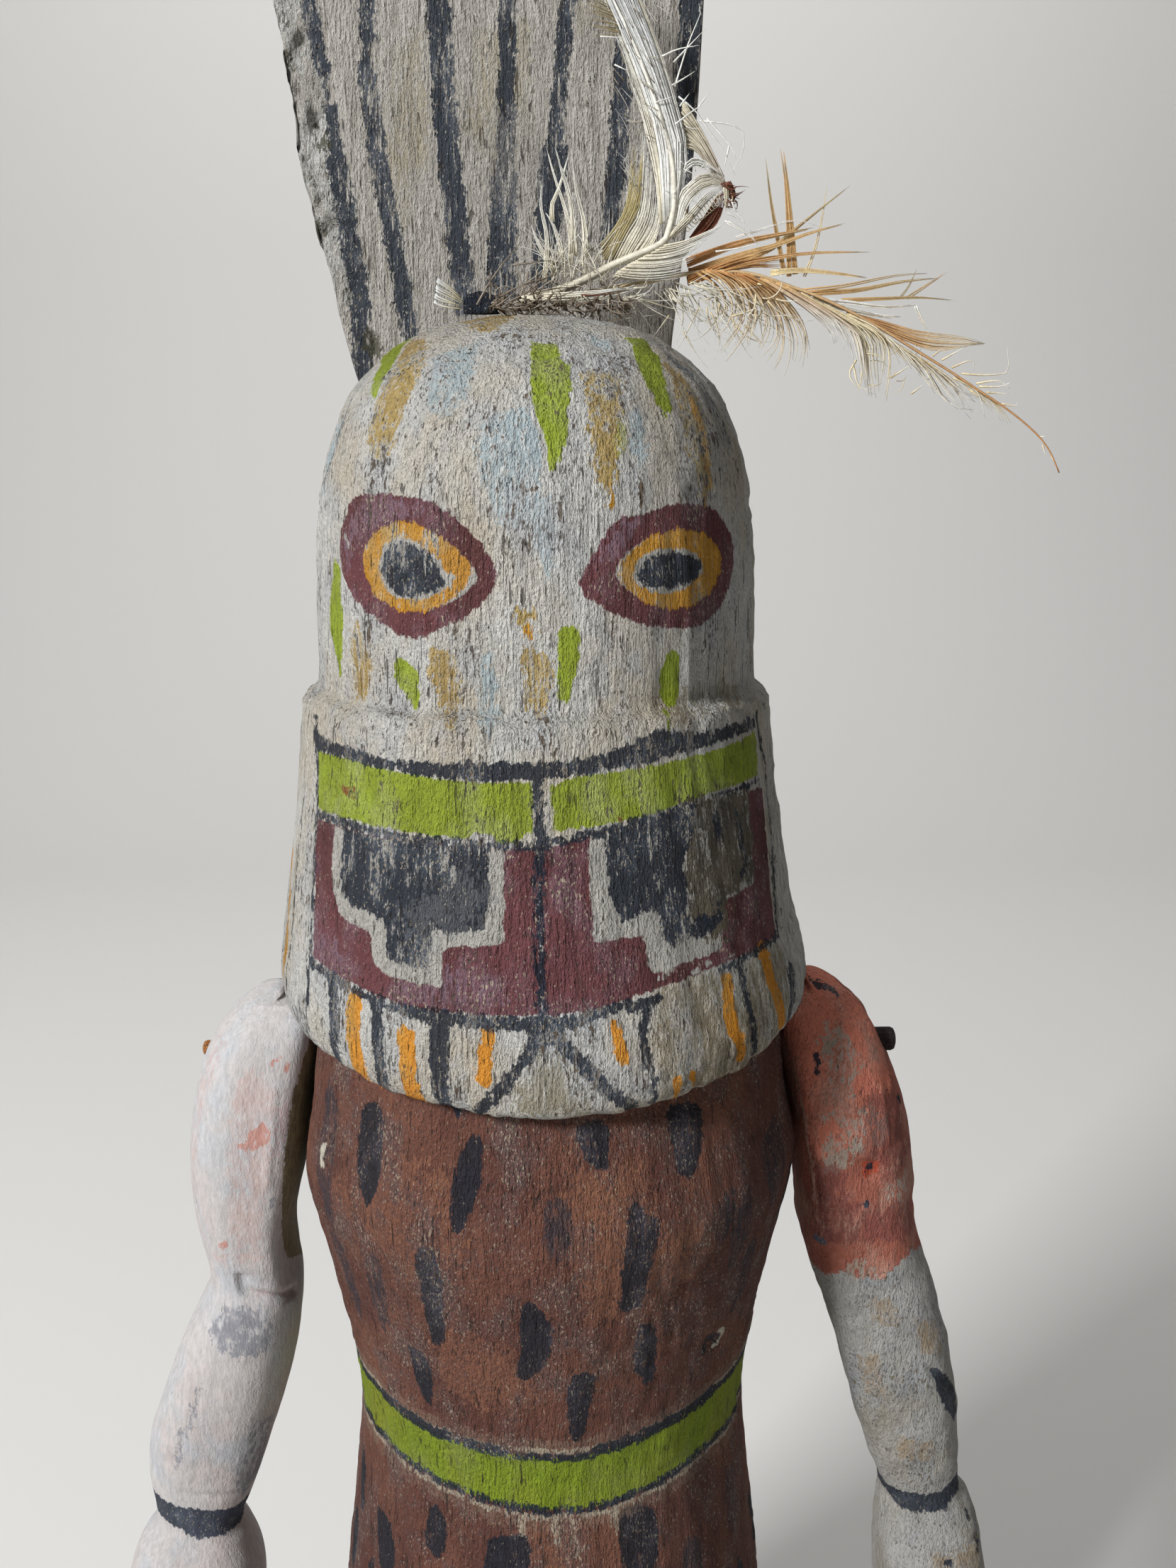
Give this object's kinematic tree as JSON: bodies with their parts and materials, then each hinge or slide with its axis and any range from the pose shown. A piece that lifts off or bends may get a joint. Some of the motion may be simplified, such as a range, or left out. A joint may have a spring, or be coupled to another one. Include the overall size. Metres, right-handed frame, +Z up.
{
  "type": "kachina doll",
  "caption": "Carved and painted wooden kachina doll with a case mask, pegged arms, a tall upright board and worn feathers on its crown, standing in boots on a low round base",
  "frame": {"origin": "centre of the round base's flat underside", "axes": "+Z up, the face looks along -Y, +X is the doll's left"},
  "size_m": [0.2024, 0.128, 0.525],
  "materials": {
    "painted_wood": "worn matt earth and mineral paints over carved cottonwood: whitewash, maroon, green, blue-black, orange and red-brown",
    "chalk_paint": "chalky pinkish white over carved wood, with coral traces",
    "coral_paint": "worn matt coral paint over carved wood, white below the elbow",
    "dark_peg": "dark worn peg end",
    "weathered_board": "weathered grey-beige board with blue-black painted stripes",
    "white_feather": "frayed white plume",
    "tan_feather": "frayed tan plume",
    "bare_wood": "plain weathered wood"
  },
  "bodies": {
    "root": {"figure": "painted_wood", "arm_right": "chalk_paint", "arm_left": "coral_paint", "peg_right": "coral_paint", "peg_left": "dark_peg", "tableta": "weathered_board", "feather_upright": "white_feather", "feather_tan": "tan_feather", "feather_broken": "white_feather", "down_tuft": "white_feather", "base": "bare_wood"}
  },
  "joints": []
}
